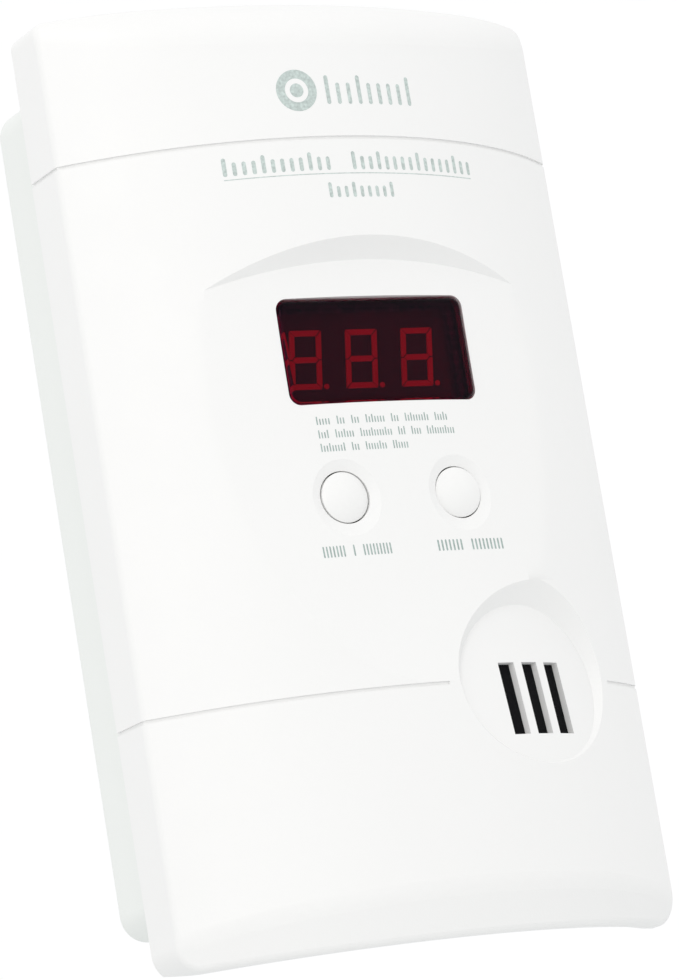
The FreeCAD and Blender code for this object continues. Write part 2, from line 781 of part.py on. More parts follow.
def rear_housing():
    width = ("-rear_width/2", "rear_width/2")
    outer = rounded("rear_corners", block("rear_block", width, ("cover_back", "0"),
                                          ("rear_bottom", "rear_top")),
                    size("rear_corner"), runs_along(Y_AXIS))
    soft = rounded("rear_soft", outer, size("rear_edge"), lambda edge: edge.BoundBox.YMin > -SAME)
    flange = common("rear_flange", cover_form("flange_form", size("cover_wall") + size("fit_gap")),
                    block("flange_slab", ("-width", "width"), ("cover_back-flange_thick", "cover_back"),
                          ("-height", "height")))
    inside = rounded("rear_inside",
                     block("rear_cavity", ("-rear_width/2+rear_wall", "rear_width/2-rear_wall"),
                           ("cover_back-flange_thick-bite", "-rear_wall"),
                           ("rear_bottom+rear_wall", "rear_top-rear_wall")),
                     size("rear_corner") - size("rear_wall"), runs_along(Y_AXIS))
    shell = cut("rear_shell", fuse("rear_body", soft, flange), inside)
    bay = block("bay_walls", ("bay_left-bay_wall", "bay_right+bay_wall"), ("bay_front-bay_floor", "-bite"),
                ("bay_low-bay_wall", "bay_high+bay_wall"))
    recess = block("recess_walls", ("-recess_half-recess_wall", "recess_half+recess_wall"),
                   ("-recess_deep-recess_wall", "-bite"),
                   ("recess_low-recess_wall", "recess_top+recess_wall"))
    channel = block("channel_walls", ("-channel_half-recess_wall", "channel_half+recess_wall"),
                    ("-channel_deep-recess_wall", "-bite"), ("rear_bottom+bite", "recess_low"))
    tubes = [rod(f"rear_tube_{index}", "screw_tube", x, ("cover_back", "-bite"), z)
             for index, (x, z) in enumerate(HOUSING_SCREW_POINTS)]
    posts = [rod(f"rear_post_{index}", "post_radius", x, ("board_front+board_thick", "-bite"), z)
             for index, (x, z) in enumerate(BOARD_SCREW_POINTS)]
    solid = fuse("rear_solid", shell, bay, recess, channel, *tubes, *posts)
    return cut("rear_housing", solid, *rear_openings())


def rear_openings():
    rebate = block("door_rebate", ("bay_left-bay_wall-door_gap", "bay_right+bay_wall+door_gap"),
                   ("-door_thick-tight_gap", "overlap"),
                   ("bay_low-bay_wall-door_gap", "bay_high+bay_wall+door_gap"))
    bay = block("bay_room", ("bay_left", "bay_right"), ("bay_front", "overlap"), ("bay_low", "bay_high"))
    recess = block("recess_room", ("-recess_half", "recess_half"), ("-recess_deep", "overlap"),
                   ("recess_low", "recess_top"))
    channel = block("channel_room", ("-channel_half", "channel_half"), ("-channel_deep", "overlap"),
                    ("rear_bottom-overlap", "recess_low+overlap"))
    inlet = block("inlet_hole", ("-inlet_half-tight_gap", "inlet_half+tight_gap"),
                  ("inlet_front-tight_gap", "inlet_back+tight_gap"),
                  ("recess_top-bite", "recess_top+recess_wall+fit_gap"))
    label = block("label_seat", ("-label_half-fit_gap", "label_half+fit_gap"), ("-label_sink", "overlap"),
                  ("label_low-fit_gap", "label_high+fit_gap"))
    openings = [rebate, bay, recess, channel, inlet, label]
    for index, (x, z) in enumerate(HOUSING_SCREW_POINTS):
        openings.append(rod(f"screw_hole_{index}", "screw_shank+loose_gap", x,
                            ("cover_back-bite", "overlap"), z))
        openings.append(rod(f"screw_sink_{index}", "screw_head+loose_gap", x, ("-screw_sink", "overlap"), z))
    for index, (x, z) in enumerate(BOARD_SCREW_POINTS):
        openings.append(rod(f"post_hole_{index}", "post_screw+tight_gap/2", x,
                            ("board_front", "post_screw_tip+bite"), z))
    for side in (-1, 1):
        openings += keyhole(side)
    count = int(size("rear_slot_count"))
    for index in range(count):
        middle = f"({index}-({count}-1)/2)*rear_slot_pitch"
        openings.append(block(f"rear_slot_{index}",
                              (f"{middle}-rear_slot_width/2", f"{middle}+rear_slot_width/2"),
                              ("rear_slot_front", "rear_slot_back"),
                              ("rear_top-rear_wall-bite", "rear_top+bite")))
    openings += [rod(f"contact_hole_{side}", "tail_radius+loose_gap", "tail_x",
                     ("bay_front-bay_floor-bite", "bay_front+bite"), f"{BAY_MID}+{side}*terminal_spacing/2")
                 for side in (-1, 1)]
    return openings


def keyhole(side):
    x = f"{side}*keyhole_offset"
    deep = ("-rear_wall-bite", "overlap")
    head = rod(f"keyhole_head_{side}", "keyhole_head", x, deep, "keyhole_head_mid")
    top = rod(f"keyhole_top_{side}", "keyhole_slot", x, deep, "keyhole_head_mid+keyhole_travel")
    slot = block(f"keyhole_slot_{side}", (f"{x}-keyhole_slot", f"{x}+keyhole_slot"), deep,
                 ("keyhole_head_mid", "keyhole_head_mid+keyhole_travel"))
    return [head, top, slot]


def battery_door():
    low = "bay_low-bay_wall"
    high = "bay_high+bay_wall"
    plate = block("door_plate", ("bay_left-bay_wall", "bay_right+bay_wall"), ("-door_thick", "0"),
                  (low, high))
    bottom = size("bay_low") - size("bay_wall")
    soft = rounded("door_soft", plate, size("door_round"),
                   lambda edge: runs_along(X_AXIS)(edge) and edge.BoundBox.ZMax < bottom + SAME)
    grips = []
    for index in range(int(size("grip_count"))):
        top = f"{high}-grip_margin-{index}*grip_pitch"
        grips.append(block(f"door_grip_{index}", ("bay_middle-grip_half", "bay_middle+grip_half"),
                           ("-grip_depth", "overlap"), (f"{top}-grip_width", top)))
    return cut("battery_door", soft, *grips)


def battery():
    case = block("battery_block", ("battery_left", "battery_left+battery_length"),
                 ("battery_back-battery_thick", "battery_back"),
                 (f"{BAY_MID}-battery_width/2", f"{BAY_MID}+battery_width/2"))
    rounded("battery", case, size("battery_edge"), runs_along(X_AXIS))
    depth_mid = "battery_back-battery_thick/2"
    snaps = []
    cups = []
    for side in (-1, 1):
        z = f"{BAY_MID}+{side}*terminal_spacing/2"
        snaps.append(rod(f"snap_{side}", "terminal_radius", ("battery_left-terminal_length", "battery_left"),
                         depth_mid, z))
        ring = rod(f"cup_ring_{side}", "terminal_radius+cup_wall", ("plate_right-bite", "cup_mouth"),
                   depth_mid, z)
        room = rod(f"cup_room_{side}", "terminal_radius+tight_gap", ("plate_right+bite", "battery_left"),
                   depth_mid, z)
        tail = rod(f"cup_tail_{side}", "tail_radius", "tail_x",
                   ("board_front+board_thick+tight_gap", depth_mid), z)
        cups += [cut(f"cup_{side}", ring, room), tail]
    fuse("battery_terminals", *snaps)
    plate = block("contact_plate", ("bay_left+fit_gap", "plate_right"),
                  (f"{depth_mid}-plate_half_deep", f"{depth_mid}+plate_half_deep"),
                  (f"{BAY_MID}-plate_half_high", f"{BAY_MID}+plate_half_high"))
    fuse("battery_contacts", plate, *cups)


def power_inlet():
    case = block("inlet_case", ("-inlet_half", "inlet_half"), ("inlet_front", "inlet_back"),
                 ("recess_top", "recess_top+inlet_length"))
    middle = "(inlet_front+inlet_back)/2"
    bore = rod("inlet_room", "inlet_bore", "0", middle, ("recess_top-bite", "recess_top+inlet_bore_deep"))
    cut("power_inlet", case, bore)
    rod("inlet_pin", "inlet_pin_radius", "0", middle,
        ("recess_top+inlet_pin_start", "recess_top+inlet_bore_deep"))


def screws():
    housing = []
    for index, (x, z) in enumerate(HOUSING_SCREW_POINTS):
        head = rod(f"screw_head_{index}", "screw_head", x, ("-screw_sink", "-screw_sink+screw_head_thick"), z)
        shank = rod(f"screw_shank_{index}", "screw_shank", x, ("screw_tip", "-screw_sink"), z)
        slots = cross_slots(f"screw_{index}", x, z, "-screw_sink+screw_head_thick")
        housing.append(cut(f"screw_{index}", fuse(f"screw_body_{index}", head, shank), *slots))
    fuse("housing_screws", *housing)
    board = []
    for index, (x, z) in enumerate(BOARD_SCREW_POINTS):
        head = rod(f"small_head_{index}", "post_screw_head", x,
                   ("board_front-post_head_thick", "board_front"), z)
        shank = rod(f"small_shank_{index}", "post_screw", x, ("board_front", "post_screw_tip"), z)
        board += [head, shank]
    fuse("board_screws", *board)


def cross_slots(name, x, z, face):
    """Two crossing slots let into a screw head."""
    deep = (f"{face}-cross_depth", f"{face}+bite")
    flat = block(name + "_flat", (f"{x}-cross_half", f"{x}+cross_half"), deep,
                 (f"{z}-cross_width/2", f"{z}+cross_width/2"))
    tall = block(name + "_tall", (f"{x}-cross_width/2", f"{x}+cross_width/2"), deep,
                 (f"{z}-cross_half", f"{z}+cross_half"))
    return [flat, tall]


def small_pieces():
    for name, side in (("test", -1), ("peak", 1)):
        push_button(name + "_button", side)
        push_switch(name + "_switch", side)
        rod(name + "_plunger", "stem_radius", f"{side}*button_offset", ("stem_end", "plunger_end"),
            "button_height_mid")
    vent_layer("vent_mesh", "mesh_radius", "vent_plate", "(vent_plate+mesh_thick)")
    block("rating_label", ("-label_half", "label_half"), ("label_front", "label_front+label_thick"),
          ("label_low", "label_high"))


NODES = ["front_cover", "display_lens", "display_module", "display_digits", "test_button", "peak_button",
         "test_plunger", "peak_plunger", "test_switch", "peak_switch", "circuit_board", "co_sensor",
         "sensor_filter", "sounder_case", "piezo_disc", "vent_mesh", "microcontroller",
         "voltage_regulator", "capacitors", "resistors", "rear_housing", "battery_door", "battery",
         "battery_terminals", "battery_contacts", "power_inlet", "inlet_pin", "housing_screws",
         "board_screws", "rating_label"]


def check_objects():
    for obj in doc.Objects:
        if "Invalid" in obj.State or "Error" in obj.State:
            raise RuntimeError(f"{obj.Label} did not compute: {obj.State}")
    for node in NODES:
        shape = doc.getObject(node).Shape
        if shape.isNull() or not shape.isValid() or not shape.Solids:
            raise RuntimeError(f"{node} has no valid solid")


front_cover()
display_lens()
display_module()
display_digits()
small_pieces()
circuit_board()
gas_sensor()
sounder()
board_components()
rear_housing()
battery_door()
battery()
power_inlet()
screws()
doc.recompute()
check_objects()

os.makedirs("parts", exist_ok=True)
for node in NODES:
    doc.getObject(node).Shape.exportStep(f"parts/{node}.step")
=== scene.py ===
import math

import bmesh
import bpy
from mathutils import Matrix, Vector
from mathutils.bvhtree import BVHTree


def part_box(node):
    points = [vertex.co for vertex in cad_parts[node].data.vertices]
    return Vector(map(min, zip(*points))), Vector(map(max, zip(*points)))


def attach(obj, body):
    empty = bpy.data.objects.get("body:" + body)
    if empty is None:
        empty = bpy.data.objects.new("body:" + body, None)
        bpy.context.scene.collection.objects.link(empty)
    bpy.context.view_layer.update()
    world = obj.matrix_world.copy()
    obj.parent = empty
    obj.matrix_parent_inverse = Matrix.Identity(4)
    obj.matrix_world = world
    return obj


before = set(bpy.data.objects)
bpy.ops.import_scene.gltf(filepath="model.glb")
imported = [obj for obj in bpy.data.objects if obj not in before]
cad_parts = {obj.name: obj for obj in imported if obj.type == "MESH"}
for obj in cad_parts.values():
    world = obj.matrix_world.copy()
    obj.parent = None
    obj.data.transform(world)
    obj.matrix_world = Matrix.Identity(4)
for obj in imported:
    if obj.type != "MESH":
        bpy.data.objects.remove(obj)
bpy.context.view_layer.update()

MM = 0.001

# Camera: a long lens to the left of the alarm and a little below it, turned about its own axis.
CAMERA_AZIMUTH = -30.95
CAMERA_ELEVATION = -11.52
CAMERA_ROLL = -9.44
CAMERA_DISTANCE = 0.73528
CAMERA_LENS = 177.75
CAMERA_SENSOR = 36.0
CAMERA_NEAR = 0.01
CAMERA_TARGET = Vector((-0.00381, -0.023, -0.00188))

# The hollow face's side edges are eased over this radius, between these distances from the middle
# and these heights.
SOFT_RADIUS = 0.004
SOFT_SIDE = 0.0195
SOFT_END = 0.036
SOFT_LOW = -0.020
SOFT_HIGH = 0.026
SOFT_SAMPLES = 8

# How often noise repeats in a metre, for tone, gloss and relief.
DRIFT_SCALE = 35.0
GLOSS_SCALE = 160.0
GRAIN_SCALE = 3200.0
METAL_SCALE = 300.0
METAL_GLOSS_SCALE = 900.0
METAL_GRAIN_SCALE = 2500.0
LENS_TINT_SCALE = 60.0
LENS_GLOSS_SCALE = 220.0
LENS_WAVE_SCALE = 90.0
INK_SCALE = 2200.0
INK_GLOSS_SCALE = 900.0
INK_GRAIN_SCALE = 3000.0
SLEEVE_SCALE = 90.0
WEAVE_SCALE = 2600.0
TRACK_SCALE = 160.0
FLOOR_GRAIN_SCALE = 60.0

# Thin printed films: height over the surface, depth of their root in it, and slice width.
FILM = 0.00002
ROOT = 0.00001
SLICE = 0.0006
SLICE_RATIO = 3

# Rows of strokes that stand for print, as numbers of strokes in each group.
GROUP_GAP = 2
SHORT_STROKE = 0.74
TITLE_GROUPS = (12, 16)
SUBTITLE_GROUPS = (9,)
BADGE_GROUPS = (9,)
BADGE_FILLING = 0.36
NOTE_LINES = ((10.0, (5, 3, 3, 7, 3, 9, 5)), (10.9, (4, 7, 12, 3, 4, 11)), (2.1, (9, 3, 8, 6)))
BUTTON_LABELS = (("test", (7, 1, 9), 11.3), ("peak", (7, 9), 12.0))
LABEL_GROUPS = ((9, 5, 11, 7), (7, 11, 4, 9, 5), (13, 7, 8), (5, 9, 11, 4))

# Places and sizes of the prints in millimetres; drops are measured down from the cover's top.
BADGE_X = -8.4
BADGE_DROP = 15.9
BADGE_OUTER = 3.3
BADGE_INNER = 1.9
BADGE_DOT = 1.1
BADGE_ROW = (-3.6, 11.8)
BADGE_HEIGHT = 4.6
TITLE_HALF = 21.8
TITLE_DROP = 27.2
TITLE_HEIGHT = 2.9
RULE_DROP = 29.2
RULE_THICK = 0.13
SUBTITLE_ROW = (-5.8, 5.5)
SUBTITLE_DROP = 31.8
SUBTITLE_HEIGHT = 2.4
NOTE_LEFT = -12.7
NOTE_GAP = 0.35
NOTE_PITCH = 2.1
NOTE_HEIGHT = 1.3
BUTTON_LABEL_DROP = 8.4
BUTTON_LABEL_HEIGHT = 1.75
RATING_ROWS = 7
RATING_MARGIN = 4.0
RATING_STEP = 5.0
RATING_LEFT = 22.0
RATING_PITCH = 3.1
RATING_HEIGHT = 1.3
RATING_BOX_X = 11.0
RATING_BOX_SIDE = 15.0
RATING_BOX_LINE = 0.35
RATING_BARS = 5
RATING_BAR_PITCH = 2.5
RATING_BAR_WIDTH = 0.4
RATING_BAR_STEP = 0.3
RATING_BAR_HEIGHT = 0.55

# Share of the battery's length, from the contacts, that is copper coloured.
BATTERY_BAND = 0.3

FLOOR_SIZE = 12.0
FLOOR_LEVEL = -0.45


# ---------------------------------------------------------------- material helpers

def open_material(material):
    tree = material.node_tree
    return tree.nodes, tree.links, tree.nodes["Principled BSDF"]


def new_material(name):
    material = bpy.data.materials.new(name)
    material.use_nodes = True
    return (material,) + open_material(material)


def grey(value):
    return (value, value, value, 1.0)


def shade(colour, factor=1.0, shift=0.0):
    """Colour scaled and shifted, kept between 0 and 1, with its alpha."""
    return tuple(min(1.0, max(0.0, part * factor + shift)) for part in colour) + (1.0,)


def own_coordinates(nodes):
    """The object's own metres, so that sizes in a pattern are real ones."""
    return nodes.new("ShaderNodeTexCoord").outputs["Object"]


def own_axes(nodes, links):
    split = nodes.new("ShaderNodeSeparateXYZ")
    links.new(own_coordinates(nodes), split.inputs["Vector"])
    return split.outputs


def noise(nodes, links, scale, detail=3.0):
    texture = nodes.new("ShaderNodeTexNoise")
    texture.inputs["Scale"].default_value = scale
    texture.inputs["Detail"].default_value = detail
    links.new(own_coordinates(nodes), texture.inputs["Vector"])
    return texture.outputs["Fac"]


def ramp(nodes, links, source, low, high, start=0.3, end=0.7):
    """Maps a noise value to a colour or value between low and high."""
    colours = nodes.new("ShaderNodeValToRGB")
    first, last = colours.color_ramp.elements
    first.position = start
    first.color = low
    last.position = end
    last.color = high
    links.new(source, colours.inputs["Fac"])
    return colours.outputs["Color"]


def bump(nodes, links, source, height, strength, shader):
    relief = nodes.new("ShaderNodeBump")
    relief.inputs["Strength"].default_value = strength
    relief.inputs["Distance"].default_value = height
    links.new(source, relief.inputs["Height"])
    links.new(relief.outputs["Normal"], shader.inputs["Normal"])
    return relief


def maths(nodes, links, operation, first, second=None):
    """Result of one operation on a value and, where given, a number or a second value."""
    node = nodes.new("ShaderNodeMath")
    node.operation = operation
    links.new(first, node.inputs[0])
    if isinstance(second, float):
        node.inputs[1].default_value = second
    elif second is not None:
        links.new(second, node.inputs[1])
    return node.outputs["Value"]


# ---------------------------------------------------------------- materials

def plastic(name, colour, spread=0.02, roughness=0.4, grain=GRAIN_SCALE, depth=0.00002, strength=0.25):
    """Moulded plastic: slight tone drift, fine spark-eroded grain and uneven gloss."""
    material, nodes, links, shader = new_material(name)
    tone = ramp(nodes, links, noise(nodes, links, DRIFT_SCALE),
                shade(colour, shift=-spread), shade(colour, shift=spread))
    links.new(tone, shader.inputs["Base Color"])
    gloss = ramp(nodes, links, noise(nodes, links, GLOSS_SCALE, detail=4.0),
                 grey(roughness - 0.05), grey(roughness + 0.05))
    links.new(gloss, shader.inputs["Roughness"])
    bump(nodes, links, noise(nodes, links, grain, detail=2.0), depth, strength, shader)
    return material


def moulded_cover(name, colour):
    """Cover plastic whose hollow face runs out softly into the crown at its two sides."""
    material = plastic(name, colour, spread=0.004, roughness=0.42)
    nodes, links, _ = open_material(material)
    axes = own_axes(nodes, links)
    sideways = maths(nodes, links, "ABSOLUTE", axes["X"])
    limits = (maths(nodes, links, "GREATER_THAN", sideways, SOFT_SIDE),
              maths(nodes, links, "LESS_THAN", sideways, SOFT_END),
              maths(nodes, links, "GREATER_THAN", axes["Z"], SOFT_LOW),
              maths(nodes, links, "LESS_THAN", axes["Z"], SOFT_HIGH))
    inside = limits[0]
    for limit in limits[1:]:
        inside = maths(nodes, links, "MULTIPLY", inside, limit)
    eased = nodes.new("ShaderNodeBevel")
    eased.samples = SOFT_SAMPLES
    eased.inputs["Radius"].default_value = SOFT_RADIUS
    plain = nodes.new("ShaderNodeNewGeometry")
    chosen = nodes.new("ShaderNodeMix")
    chosen.data_type = "VECTOR"
    links.new(inside, socket(chosen.inputs, "Factor_Float"))
    links.new(plain.outputs["Normal"], socket(chosen.inputs, "A_Vector"))
    links.new(eased.outputs["Normal"], socket(chosen.inputs, "B_Vector"))
    relief = next(node for node in nodes if node.bl_idname == "ShaderNodeBump")
    links.new(socket(chosen.outputs, "Result_Vector"), relief.inputs["Normal"])
    return material


def socket(sockets, identifier):
    """Socket of a Mix node, whose sockets share their names."""
    return next(item for item in sockets if item.identifier == identifier)


def metal(name, colour, roughness=0.3):
    material, nodes, links, shader = new_material(name)
    shader.inputs["Metallic"].default_value = 1.0
    tone = ramp(nodes, links, noise(nodes, links, METAL_SCALE, detail=5.0),
                shade(colour, 0.85), shade(colour))
    links.new(tone, shader.inputs["Base Color"])
    gloss = ramp(nodes, links, noise(nodes, links, METAL_GLOSS_SCALE, detail=4.0),
                 grey(roughness - 0.08), grey(roughness + 0.1))
    links.new(gloss, shader.inputs["Roughness"])
    bump(nodes, links, noise(nodes, links, METAL_GRAIN_SCALE), 0.00001, 0.2, shader)
    return material


def tinted_lens(name):
    """Deep red acrylic, polished, with faint waviness."""
    material, nodes, links, shader = new_material(name)
    tint = ramp(nodes, links, noise(nodes, links, LENS_TINT_SCALE),
                (0.44, 0.012, 0.085, 1.0), (0.48, 0.016, 0.10, 1.0))
    links.new(tint, shader.inputs["Base Color"])
    shader.inputs["Transmission Weight"].default_value = 1.0
    shader.inputs["IOR"].default_value = 1.40
    shader.inputs["Specular Tint"].default_value = (0.14, 0.04, 0.13, 1.0)
    shader.inputs["Coat Weight"].default_value = 0.08
    shader.inputs["Coat Roughness"].default_value = 0.03
    gloss = ramp(nodes, links, noise(nodes, links, LENS_GLOSS_SCALE), grey(0.02), grey(0.06))
    links.new(gloss, shader.inputs["Roughness"])
    bump(nodes, links, noise(nodes, links, LENS_WAVE_SCALE), 0.00003, 0.1, shader)
    return material


def lit_segment(name):
    """Red segment caps with a faint glow."""
    material = plastic(name, (0.50, 0.05, 0.09), spread=0.03, roughness=0.45)
    _, _, shader = open_material(material)
    shader.inputs["Emission Color"].default_value = (1.0, 0.05, 0.08, 1.0)
    shader.inputs["Emission Strength"].default_value = 0.18
    return material


def ink(name, colour):
    """Matt printing ink, a little mottled where it took unevenly."""
    material, nodes, links, shader = new_material(name)
    tone = ramp(nodes, links, noise(nodes, links, INK_SCALE, detail=4.0),
                shade(colour, 0.85), shade(colour, 1.25))
    links.new(tone, shader.inputs["Base Color"])
    gloss = ramp(nodes, links, noise(nodes, links, INK_GLOSS_SCALE), grey(0.55), grey(0.7))
    links.new(gloss, shader.inputs["Roughness"])
    bump(nodes, links, noise(nodes, links, INK_GRAIN_SCALE), 0.000005, 0.2, shader)
    return material


def banded_battery(name, border):
    """Shrink-wrapped battery: a copper coloured end and a dark sleeve, parted at one X."""
    material = plastic(name, (0.09, 0.10, 0.13), spread=0.01, roughness=0.3)
    nodes, links, shader = open_material(material)
    beyond = maths(nodes, links, "GREATER_THAN", own_axes(nodes, links)["X"], border)
    sleeve = ramp(nodes, links, noise(nodes, links, SLEEVE_SCALE),
                  (0.02, 0.02, 0.024, 1.0), (0.03, 0.03, 0.034, 1.0))
    mix = nodes.new("ShaderNodeMix")
    mix.data_type = "RGBA"
    socket(mix.inputs, "A_Color").default_value = (0.50, 0.22, 0.09, 1.0)
    links.new(beyond, socket(mix.inputs, "Factor_Float"))
    links.new(sleeve, socket(mix.inputs, "B_Color"))
    links.new(socket(mix.outputs, "Result_Color"), shader.inputs["Base Color"])
    return material


def tracked_board(name):
    """Green lacquer over a maze of slightly lighter copper tracks."""
    material = plastic(name, (0.02, 0.16, 0.07), spread=0.01, roughness=0.3)
    nodes, links, shader = open_material(material)
    turned = nodes.new("ShaderNodeMapping")
    turned.inputs["Rotation"].default_value = (math.radians(90), 0.0, 0.0)
    tracks = nodes.new("ShaderNodeTexBrick")
    tracks.inputs["Scale"].default_value = TRACK_SCALE
    tracks.inputs["Mortar Size"].default_value = 0.05
    tracks.inputs["Color1"].default_value = (0.012, 0.12, 0.05, 1.0)
    tracks.inputs["Color2"].default_value = (0.02, 0.15, 0.065, 1.0)
    tracks.inputs["Mortar"].default_value = (0.05, 0.26, 0.12, 1.0)
    links.new(own_coordinates(nodes), turned.inputs["Vector"])
    links.new(turned.outputs["Vector"], tracks.inputs["Vector"])
    links.new(tracks.outputs["Color"], shader.inputs["Base Color"])
    return material


def cloth(name, colour):
    """Fine woven or felted stuff."""
    material, nodes, links, shader = new_material(name)
    tone = ramp(nodes, links, noise(nodes, links, WEAVE_SCALE, detail=4.0),
                shade(colour, 0.7), shade(colour, 1.2))
    links.new(tone, shader.inputs["Base Color"])
    shader.inputs["Roughness"].default_value = 0.9
    shader.inputs["Specular IOR Level"].default_value = 0.1
    bump(nodes, links, noise(nodes, links, WEAVE_SCALE, detail=4.0), 0.0001, 0.6, shader)
    return material


# ---------------------------------------------------------------- what each node is made of

def paint(material, *names):
    for name in names:
        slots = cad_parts[name].data.materials
        slots.clear()
        slots.append(material)


def paint_casing():
    paint(moulded_cover("cover_white", (0.853, 0.853, 0.848)), "front_cover")
    paint(plastic("button_white", (0.86, 0.86, 0.853), spread=0.004, roughness=0.3, strength=0.1),
          "test_button", "peak_button")
    paint(plastic("rear_white", (0.815, 0.835, 0.815), spread=0.005, roughness=0.45),
          "rear_housing", "battery_door")
    paint(metal("zinc", (0.6, 0.6, 0.58), 0.35), "housing_screws", "board_screws")
    paint(plastic("label_film", (0.78, 0.79, 0.80), spread=0.005, roughness=0.35), "rating_label")
    paint(cloth("mesh_black", (0.006, 0.006, 0.007)), "vent_mesh")


def paint_display():
    paint(tinted_lens("lens_red"), "display_lens")
    paint(plastic("module_dark", (0.008, 0.004, 0.008), spread=0.002, roughness=0.35), "display_module")
    paint(lit_segment("segment_red"), "display_digits")


def paint_inside():
    paint(plastic("black_part", (0.025, 0.025, 0.026), spread=0.005, roughness=0.5),
          "test_plunger", "peak_plunger", "test_switch", "peak_switch", "sounder_case", "power_inlet",
          "microcontroller", "voltage_regulator", "resistors")
    paint(tracked_board("board_green"), "circuit_board")
    paint(plastic("sensor_white", (0.75, 0.75, 0.72), spread=0.01, roughness=0.5), "co_sensor")
    paint(cloth("filter_felt", (0.6, 0.6, 0.57)), "sensor_filter")
    paint(metal("brass", (0.75, 0.58, 0.28)), "piezo_disc")
    paint(plastic("capacitor_blue", (0.04, 0.06, 0.18), spread=0.01, roughness=0.3), "capacitors")
    low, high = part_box("battery")
    paint(banded_battery("battery_wrap", low[0] + (high[0] - low[0]) * BATTERY_BAND), "battery")
    paint(metal("plated", (0.72, 0.72, 0.70), 0.25), "battery_terminals", "battery_contacts", "inlet_pin")


# ---------------------------------------------------------------- printed marks

def pill(x, z, width, height, steps=4):
    """Upright rounded bar as an outline of (x, z) points."""
    radius = min(width, height) / 2
    points = []
    for corner, (side, end) in enumerate(((1, 1), (-1, 1), (-1, -1), (1, -1))):
        centre_x = x + side * (width / 2 - radius)
        centre_z = z + end * (height / 2 - radius)
        for step in range(steps + 1):
            angle = math.radians(90 * (corner + step / steps))
            points.append((centre_x + radius * math.cos(angle), centre_z + radius * math.sin(angle)))
    return points


def disc(x, z, radius, steps=40):
    turns = [2 * math.pi * step / steps for step in range(steps)]
    return [(x + radius * math.cos(turn), z + radius * math.sin(turn)) for turn in turns]


def ring(x, z, outer, inner, steps=40):
    """Ring as a loop of four-sided outlines."""
    wide = disc(x, z, outer, steps)
    narrow = disc(x, z, inner, steps)
    return [[wide[step - 1], wide[step], narrow[step], narrow[step - 1]] for step in range(steps)]


def stroke_row(left, right, z, height, groups, filling=0.42, even=False):
    """Row of plain upright strokes in groups, as wide as a line of print would be."""
    cells = sum(groups) + GROUP_GAP * (len(groups) - 1)
    pitch = (right - left) / (cells - 1 + filling)
    strokes = []
    cell = 0
    for group in groups:
        for number in range(group):
            tall = even or number == 0 or (cell * 7 + group) % 5 == 0
            bar = height if tall else height * SHORT_STROKE
            x = left + pitch * (cell + filling / 2)
            strokes.append(pill(x, z - (height - bar) / 2, pitch * filling, bar))
            cell += 1
        cell += GROUP_GAP
    return strokes


def mirrored(outlines, middle):
    """Outlines turned left for right about an upright line."""
    return [[(2 * middle - x, z) for x, z in outline] for outline in outlines]


def surface_of(node, facing):
    """Function that puts a point (x, z) on a node, seen along Y from the side that faces the viewer."""
    tree = BVHTree.FromObject(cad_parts[node], bpy.context.evaluated_depsgraph_get())
    towards = Vector((0, -facing, 0))

    def place(x, z, height):
        hit, _, _, _ = tree.ray_cast(Vector((x, facing, z)), towards)
        return hit - towards * height if hit is not None else None
    return place


def printed(name, outlines, place, material):
    """Thin film of ink laid on a surface: outlines are filled, sliced to follow it, and given thickness."""
    film = bmesh.new()
    for outline in outlines:
        film.faces.new([film.verts.new((x, 0.0, z)) for x, z in outline])
    bmesh.ops.remove_doubles(film, verts=film.verts[:], dist=ROOT)
    for axis, normal in ((0, (1, 0, 0)), (2, (0, 0, 1))):
        low = min(vert.co[axis] for vert in film.verts)
        high = max(vert.co[axis] for vert in film.verts)
        step = SLICE if axis == 0 else SLICE * SLICE_RATIO
        for count in range(1, int((high - low) / step) + 1):
            point = Vector(normal) * (low + count * step)
            bmesh.ops.bisect_plane(film, geom=film.verts[:] + film.edges[:] + film.faces[:],
                                   plane_co=point, plane_no=normal)
    bmesh.ops.triangulate(film, faces=film.faces[:])
    base = film.faces[:]
    raised = bmesh.ops.extrude_face_region(film, geom=base, use_keep_orig=True)
    upper = {item for item in raised["geom"] if isinstance(item, bmesh.types.BMVert)}
    for vert in film.verts:
        vert.co = place(vert.co.x, vert.co.z, FILM if vert in upper else -ROOT)
    bmesh.ops.recalc_face_normals(film, faces=film.faces[:])
    mesh = bpy.data.meshes.new(name)
    film.to_mesh(mesh)
    film.free()
    mesh.materials.append(material)
    piece = bpy.data.objects.new(name, mesh)
    bpy.context.scene.collection.objects.link(piece)
    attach(piece, "housing")
    return piece


def title_print(place, top, colour):
    title = stroke_row(-TITLE_HALF * MM, TITLE_HALF * MM, top - TITLE_DROP * MM, TITLE_HEIGHT * MM,
                       TITLE_GROUPS)
    title += stroke_row(SUBTITLE_ROW[0] * MM, SUBTITLE_ROW[1] * MM, top - SUBTITLE_DROP * MM,
                        SUBTITLE_HEIGHT * MM, SUBTITLE_GROUPS)
    title.append(pill(0, top - RULE_DROP * MM, 2 * TITLE_HALF * MM, RULE_THICK * MM))
    printed("title_print", title, place, colour)


def badge_print(place, top, colour):
    level = top - BADGE_DROP * MM
    badge = ring(BADGE_X * MM, level, BADGE_OUTER * MM, BADGE_INNER * MM)
    badge.append(disc(BADGE_X * MM, level, BADGE_DOT * MM))
    badge += stroke_row(BADGE_ROW[0] * MM, BADGE_ROW[1] * MM, level, BADGE_HEIGHT * MM, BADGE_GROUPS,
                        BADGE_FILLING)
    printed("badge_print", badge, place, colour)


